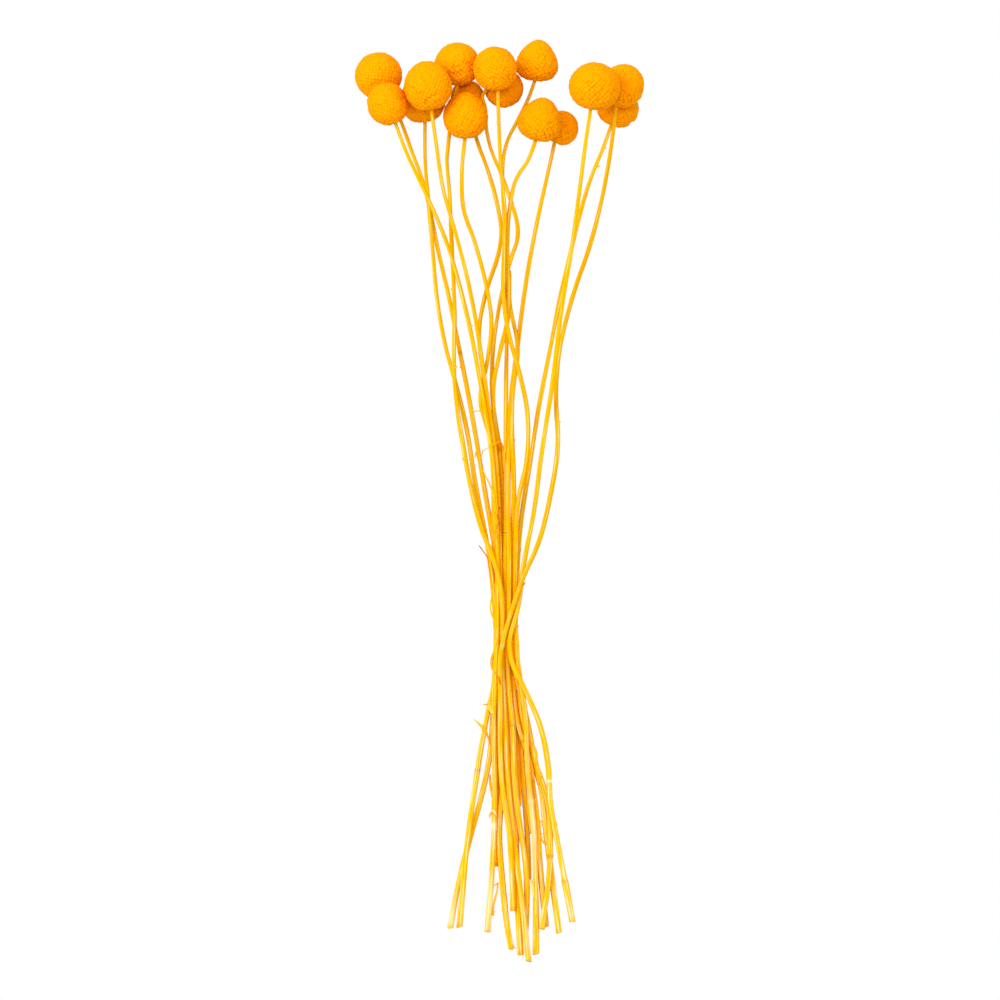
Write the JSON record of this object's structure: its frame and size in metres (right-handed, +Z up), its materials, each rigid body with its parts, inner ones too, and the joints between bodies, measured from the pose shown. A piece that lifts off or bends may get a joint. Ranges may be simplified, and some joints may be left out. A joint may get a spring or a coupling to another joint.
{
  "type": "dried billy buttons bunch",
  "caption": "Bunch of dried golden billy buttons lying on its side: round floret-covered heads on long bare stems that gather at a waist and fan out to cut ends.",
  "frame": {"origin": "middle of the bunch's outline, on the surface that it lies on", "axes": "+Y along the bunch from the cut ends to the heads, +X across it, +Z up from the surface"},
  "size_m": [0.1588, 0.5074, 0.0655],
  "materials": {
    "floret_head": "matte",
    "stem": "satin"
  },
  "bodies": {
    "root": {"head_01": "floret_head", "head_02": "floret_head", "head_03": "floret_head", "head_04": "floret_head", "head_05": "floret_head", "head_06": "floret_head", "head_07": "floret_head", "head_08": "floret_head", "head_09": "floret_head", "head_10": "floret_head", "head_11": "floret_head", "head_12": "floret_head", "head_13": "floret_head", "head_14": "floret_head", "head_15": "floret_head", "stem_01": "stem", "stem_02": "stem", "stem_03": "stem", "stem_04": "stem", "stem_05": "stem", "stem_06": "stem", "stem_07": "stem", "stem_08": "stem", "stem_09": "stem", "stem_10": "stem", "stem_11": "stem", "stem_12": "stem", "stem_13": "stem", "stem_14": "stem", "stem_15": "stem", "stem_16": "stem"}
  },
  "joints": []
}
